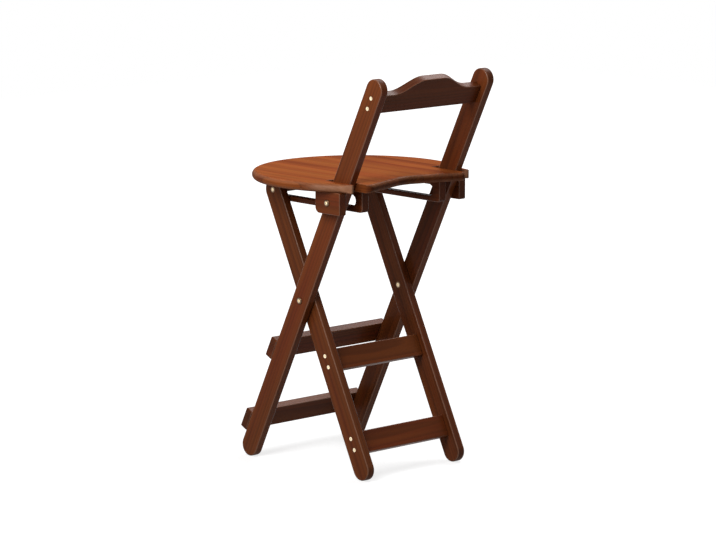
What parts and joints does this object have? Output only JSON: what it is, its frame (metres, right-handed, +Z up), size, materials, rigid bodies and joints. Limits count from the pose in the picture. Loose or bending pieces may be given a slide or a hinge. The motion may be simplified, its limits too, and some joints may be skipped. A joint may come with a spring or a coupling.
{
  "type": "folding bar stool",
  "caption": "Folding wooden bar stool with a round notched seat, crossed legs on pivot bolts, rungs, slotted battens under the seat and a low back rail with a shaped crest.",
  "frame": {"origin": "on the floor, under the middle of the outline that the open stool covers seen from above", "axes": "+Z up, +Y towards the sitter's back, +X towards the sitter's left"},
  "size_m": [0.476, 0.4984, 0.9],
  "materials": {
    "frame_wood": "dark red-brown stain under satin lacquer",
    "seat_wood": "orange-brown stain under satin lacquer",
    "fixings": "pale brass-plated steel"
  },
  "bodies": {
    "outer_frame": {"outer_leg_left": "frame_wood", "outer_leg_right": "frame_wood", "front_rung_upper": "frame_wood", "front_rung_lower": "frame_wood", "back_rail": "frame_wood", "back_rail_screw_left_upper": "fixings", "back_rail_screw_left_lower": "fixings", "back_rail_screw_right_upper": "fixings", "back_rail_screw_right_lower": "fixings", "front_rung_upper_screw_left_upper": "fixings", "front_rung_upper_screw_left_lower": "fixings", "front_rung_upper_screw_right_upper": "fixings", "front_rung_upper_screw_right_lower": "fixings", "front_rung_lower_screw_left_upper": "fixings", "front_rung_lower_screw_left_lower": "fixings", "front_rung_lower_screw_right_upper": "fixings", "front_rung_lower_screw_right_lower": "fixings", "pivot_bolt_left": "fixings", "pivot_bolt_right": "fixings", "pivot_washer_left": "fixings", "pivot_washer_right": "fixings", "seat_bolt_left": "fixings", "seat_bolt_right": "fixings", "seat_bolt_nut_left": "fixings", "seat_bolt_nut_right": "fixings"},
    "inner_frame": {"inner_leg_left": "frame_wood", "inner_leg_right": "frame_wood", "rear_rung_upper": "frame_wood", "rear_rung_lower": "frame_wood", "cross_rod": "frame_wood", "rear_rung_upper_screw_left_upper": "fixings", "rear_rung_upper_screw_left_lower": "fixings", "rear_rung_upper_screw_right_upper": "fixings", "rear_rung_upper_screw_right_lower": "fixings", "rear_rung_lower_screw_left_upper": "fixings", "rear_rung_lower_screw_left_lower": "fixings", "rear_rung_lower_screw_right_upper": "fixings", "rear_rung_lower_screw_right_lower": "fixings", "rod_screw_left": "fixings", "rod_screw_right": "fixings", "pivot_nut_left": "fixings", "pivot_nut_right": "fixings"},
    "seat": {"seat": "seat_wood", "slotted_batten_left": "frame_wood", "slotted_batten_right": "frame_wood", "outer_cleat_left": "frame_wood", "outer_cleat_right": "frame_wood", "batten_screw_left_front": "fixings", "batten_screw_left_rear": "fixings", "batten_screw_right_front": "fixings", "batten_screw_right_rear": "fixings", "cleat_screw_left_front": "fixings", "cleat_screw_left_rear": "fixings", "cleat_screw_right_front": "fixings", "cleat_screw_right_rear": "fixings", "seat_washer_left": "fixings", "seat_washer_right": "fixings"}
  },
  "joints": [
    {"name": "fold", "type": "hinge", "parent": "outer_frame", "child": "inner_frame", "pos_m": [0, -0.0173, 0.384], "axis": [-1, 0, 0], "range_deg": [0, 52.4]},
    {"name": "seat_tilt", "type": "hinge", "parent": "outer_frame", "child": "seat", "pos_m": [0, 0.09837, 0.61908], "axis": [-1, 0, 0], "range_deg": [0, 26.2]}
  ],
  "couplings": [
    {"joint": "seat_tilt", "follows": "fold", "ratio": 0.5}
  ]
}
